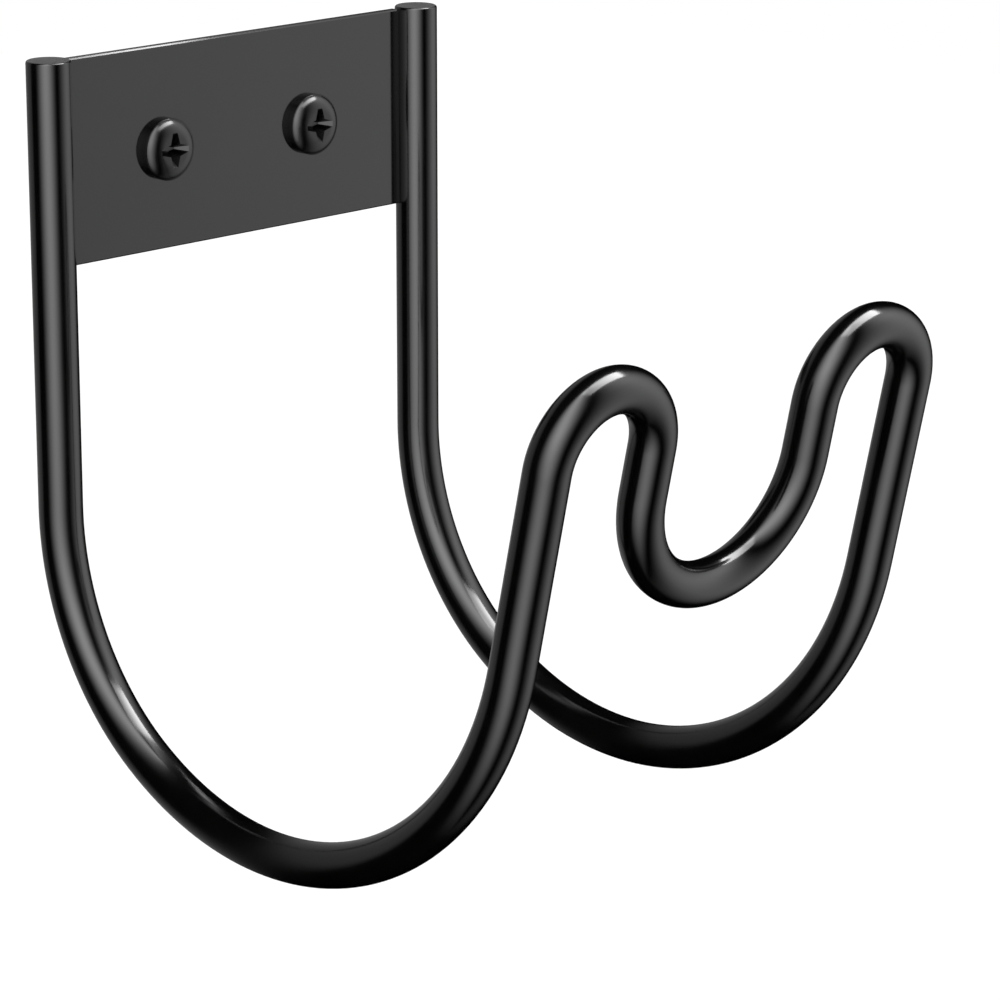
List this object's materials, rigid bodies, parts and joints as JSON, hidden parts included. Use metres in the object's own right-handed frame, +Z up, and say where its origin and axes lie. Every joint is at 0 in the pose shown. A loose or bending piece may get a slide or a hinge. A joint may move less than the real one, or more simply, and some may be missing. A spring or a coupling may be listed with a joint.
{
  "type": "hose hanger",
  "caption": "Wall hose hanger of bent round rod: legs on a welded plate, wide saddles and raised front loops that keep a coiled hose in place.",
  "frame": {"origin": "on the wall's surface, which the backs of both legs touch, half way between the two screws", "axes": "+Y into the wall, +Z up along the legs, +X to the right as seen from the front"},
  "size_m": [0.1254, 0.2059, 0.1762],
  "materials": {
    "rod_coating": "gloss black powder coat on steel",
    "plate_coating": "satin black powder coat on steel",
    "screw_finish": "satin black coated steel"
  },
  "bodies": {
    "root": {"bent_rod": "rod_coating", "mounting_plate": "plate_coating", "weld_seams": "rod_coating", "mounting_screws": "screw_finish"}
  },
  "joints": []
}
